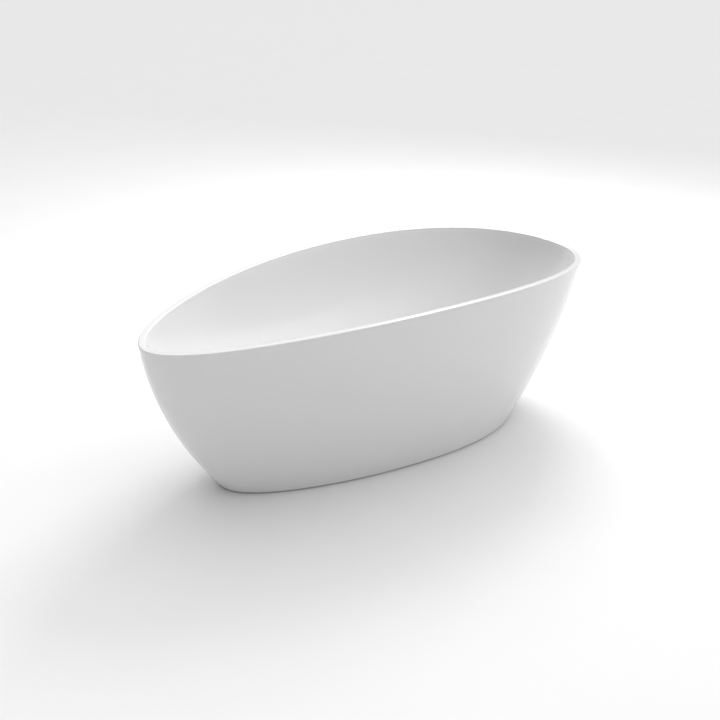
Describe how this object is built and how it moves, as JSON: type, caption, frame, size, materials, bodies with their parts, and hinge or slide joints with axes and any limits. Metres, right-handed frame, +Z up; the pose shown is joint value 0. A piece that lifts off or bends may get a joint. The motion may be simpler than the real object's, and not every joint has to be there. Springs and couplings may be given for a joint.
{
  "type": "freestanding bathtub",
  "caption": "Oval freestanding tub with a thin flat rim, double-skin walls, levelling feet, push plug, trap and overflow.",
  "frame": {"origin": "on the floor, under the middle of the rim's box", "axes": "+Z up, +X along the tub towards its wider end, -Y the overflow side"},
  "size_m": [1.6987, 0.7792, 0.586],
  "materials": {
    "white_acrylic": "high gloss",
    "adhesive": "cured bead",
    "board": "plain chipboard",
    "cradle_paint": "satin black",
    "zinc_steel": "zinc plated",
    "pad_rubber": "matte",
    "gasket_rubber": "matte",
    "chrome_trim": "polished",
    "stem_brass": "turned",
    "spring_steel": "bright wire",
    "white_fitting": "moulded satin",
    "hose_plastic": "flexible satin"
  },
  "bodies": {
    "tub": {"inner_shell": "white_acrylic", "outer_skirt": "white_acrylic", "rim_adhesive": "adhesive", "base_board": "board", "cradle_frame": "cradle_paint", "weld_nuts": "zinc_steel", "board_screws": "zinc_steel", "skirt_straps": "zinc_steel", "strap_bolts": "zinc_steel", "strap_nuts": "zinc_steel", "lip_screws": "zinc_steel", "waste_flange": "chrome_trim", "flange_gasket": "gasket_rubber", "lower_gasket": "gasket_rubber", "waste_body": "white_fitting", "plug_cartridge": "white_fitting", "plug_spring": "spring_steel", "trap_inlet_nut": "white_fitting", "inlet_washer": "gasket_rubber", "trap_body": "white_fitting", "trap_cap": "white_fitting", "trap_cap_seal": "gasket_rubber", "trap_outlet_nut": "white_fitting", "outlet_washer": "gasket_rubber", "outlet_elbow": "white_fitting", "overflow_faceplate": "chrome_trim", "overflow_front_gasket": "gasket_rubber", "overflow_screw": "zinc_steel", "overflow_back_gasket": "gasket_rubber", "overflow_body": "white_fitting", "overflow_hose": "hose_plastic", "hose_nut_upper": "white_fitting", "hose_nut_lower": "white_fitting"},
    "plug": {"plug_cap": "chrome_trim", "plug_seal": "gasket_rubber", "plug_stem": "stem_brass"},
    "pad_1": {"foot_pad_1": "pad_rubber"},
    "rod_1": {"foot_rod_1": "zinc_steel", "lock_nut_1": "zinc_steel"},
    "pad_2": {"foot_pad_2": "pad_rubber"},
    "rod_2": {"foot_rod_2": "zinc_steel", "lock_nut_2": "zinc_steel"},
    "pad_3": {"foot_pad_3": "pad_rubber"},
    "rod_3": {"foot_rod_3": "zinc_steel", "lock_nut_3": "zinc_steel"},
    "pad_4": {"foot_pad_4": "pad_rubber"},
    "rod_4": {"foot_rod_4": "zinc_steel", "lock_nut_4": "zinc_steel"}
  },
  "joints": [
    {"name": "plug_rise", "type": "slide", "parent": "tub", "child": "plug", "axis": [0, 0, 1], "range_m": [0, 0.009], "deforming": ["plug_spring"]},
    {"name": "foot_1_drop", "type": "slide", "parent": "tub", "child": "pad_1", "axis": [0, 0, -1], "range_m": [0, 0.02]},
    {"name": "foot_1_turn", "type": "hinge", "parent": "pad_1", "child": "rod_1", "pos_m": [-0.37507, -0.11118, 0.05], "axis": [0, 0, -1], "range_deg": [0, 4115.3]},
    {"name": "foot_2_drop", "type": "slide", "parent": "tub", "child": "pad_2", "axis": [0, 0, -1], "range_m": [0, 0.02]},
    {"name": "foot_2_turn", "type": "hinge", "parent": "pad_2", "child": "rod_2", "pos_m": [-0.37507, 0.11118, 0.05], "axis": [0, 0, -1], "range_deg": [0, 4115.3]},
    {"name": "foot_3_drop", "type": "slide", "parent": "tub", "child": "pad_3", "axis": [0, 0, -1], "range_m": [0, 0.02]},
    {"name": "foot_3_turn", "type": "hinge", "parent": "pad_3", "child": "rod_3", "pos_m": [0.30916, -0.18886, 0.05], "axis": [0, 0, -1], "range_deg": [0, 4115.3]},
    {"name": "foot_4_drop", "type": "slide", "parent": "tub", "child": "pad_4", "axis": [0, 0, -1], "range_m": [0, 0.02]},
    {"name": "foot_4_turn", "type": "hinge", "parent": "pad_4", "child": "rod_4", "pos_m": [0.30916, 0.18886, 0.05], "axis": [0, 0, -1], "range_deg": [0, 4115.3]}
  ],
  "couplings": [
    {"joint": "foot_1_turn", "follows": "foot_1_drop", "rad_per_m": 3590.4},
    {"joint": "foot_2_turn", "follows": "foot_2_drop", "rad_per_m": 3590.4},
    {"joint": "foot_3_turn", "follows": "foot_3_drop", "rad_per_m": 3590.4},
    {"joint": "foot_4_turn", "follows": "foot_4_drop", "rad_per_m": 3590.4}
  ]
}
